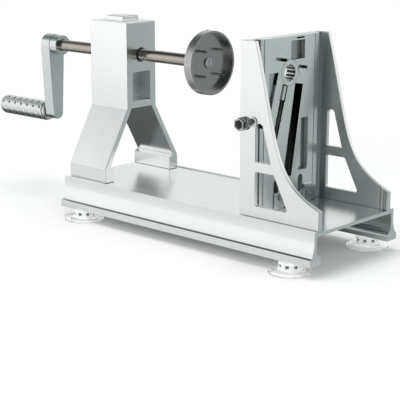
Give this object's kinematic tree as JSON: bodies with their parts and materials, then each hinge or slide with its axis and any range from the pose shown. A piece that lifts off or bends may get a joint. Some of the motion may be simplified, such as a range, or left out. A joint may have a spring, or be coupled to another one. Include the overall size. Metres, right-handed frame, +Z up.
{
  "type": "tornado potato cutter",
  "caption": "Hand cranked spiral potato cutter: a slotted base on suction cups, a shaft stand with crank and potato cup, and a curved frame with a slotted cutter plate.",
  "frame": {"origin": "on the table, under the middle of the base", "axes": "+X from the crank to the cutter along the shaft, +Z up, +Y away from the thumb screw"},
  "size_m": [0.4939, 0.1558, 0.2046],
  "materials": {
    "extruded_aluminium": "satin anodised, drawn lengthwise",
    "milled_aluminium": "fine milled, satin",
    "polished_aluminium": "polished",
    "polished_steel": "bright ground",
    "blade_steel": "brushed",
    "screw_steel": "zinc plated",
    "chrome": "polished",
    "blackened_steel": "black plated, worn bright at the edges",
    "black_nylon": "matt",
    "clear_vinyl": "clear soft vinyl"
  },
  "bodies": {
    "root": {"base_extrusion": "extruded_aluminium", "suction_cup_left_front": "clear_vinyl", "suction_cup_left_back": "clear_vinyl", "suction_cup_right_front": "clear_vinyl", "suction_cup_right_back": "clear_vinyl", "shaft_stand": "extruded_aluminium", "stand_screws": "screw_steel", "cutter_frame": "extruded_aluminium", "frame_screws": "screw_steel", "toe_screws": "screw_steel", "cutter_plate": "milled_aluminium", "hub_disc": "milled_aluminium", "slicing_blade": "blade_steel", "blade_spacers": "screw_steel", "blade_screws": "screw_steel", "comb_clamp_bolt": "screw_steel", "comb_clamp_dowel": "blackened_steel", "slot_key": "blade_steel", "plate_clip_left": "milled_aluminium", "plate_clip_right": "milled_aluminium", "clip_screws": "screw_steel", "clamp_insert": "screw_steel", "button_spring": "blade_steel"},
    "shaft_bushes": {"left_bush": "black_nylon", "right_bush": "black_nylon"},
    "feed": {"feed_shaft": "polished_steel", "crank_arm": "polished_aluminium", "crank_grub_screw": "screw_steel", "crank_washer": "screw_steel", "crank_end_screw": "screw_steel", "grip_axle": "screw_steel", "potato_cup": "polished_steel", "cup_prongs": "blade_steel", "cup_screw": "screw_steel"},
    "grip": {"grip_collar": "chrome", "grip_sleeve": "chrome", "grip_end_cap": "chrome"},
    "button": {"release_button": "milled_aluminium", "brake_shoe": "black_nylon"},
    "shoe": {"clamp_shoe": "black_nylon"},
    "thumb": {"thumb_screw": "blackened_steel", "knob_spacer": "black_nylon"}
  },
  "joints": [
    {"name": "crank_turn", "type": "hinge", "parent": "root", "child": "shaft_bushes", "pos_m": [-0.1358, 0, 0.166], "axis": [1, 0, 0], "continuous": true},
    {"name": "feed_slide", "type": "slide", "parent": "shaft_bushes", "child": "feed", "axis": [1, 0, 0], "range_m": [-0.086, 0.064]},
    {"name": "grip_spin", "type": "hinge", "parent": "feed", "child": "grip", "pos_m": [-0.2935, 0, 0.091], "axis": [1, 0, 0], "continuous": true},
    {"name": "button_press", "type": "slide", "parent": "root", "child": "button", "axis": [0, 0, -1], "range_m": [0, 0.004], "stiffness_N_per_m": 800, "springref_m": -0.002, "deforming": ["button_spring"]},
    {"name": "clamp_slide", "type": "slide", "parent": "root", "child": "shoe", "axis": [0, -1, 0], "range_m": [0, 0.002]},
    {"name": "thumb_turn", "type": "hinge", "parent": "shoe", "child": "thumb", "pos_m": [0.0878, -0.06, 0.1282], "axis": [0, -1, 0], "range_deg": [0, 720]}
  ],
  "couplings": [
    {"joint": "thumb_turn", "follows": "clamp_slide", "rad_per_m": 6283.2}
  ]
}
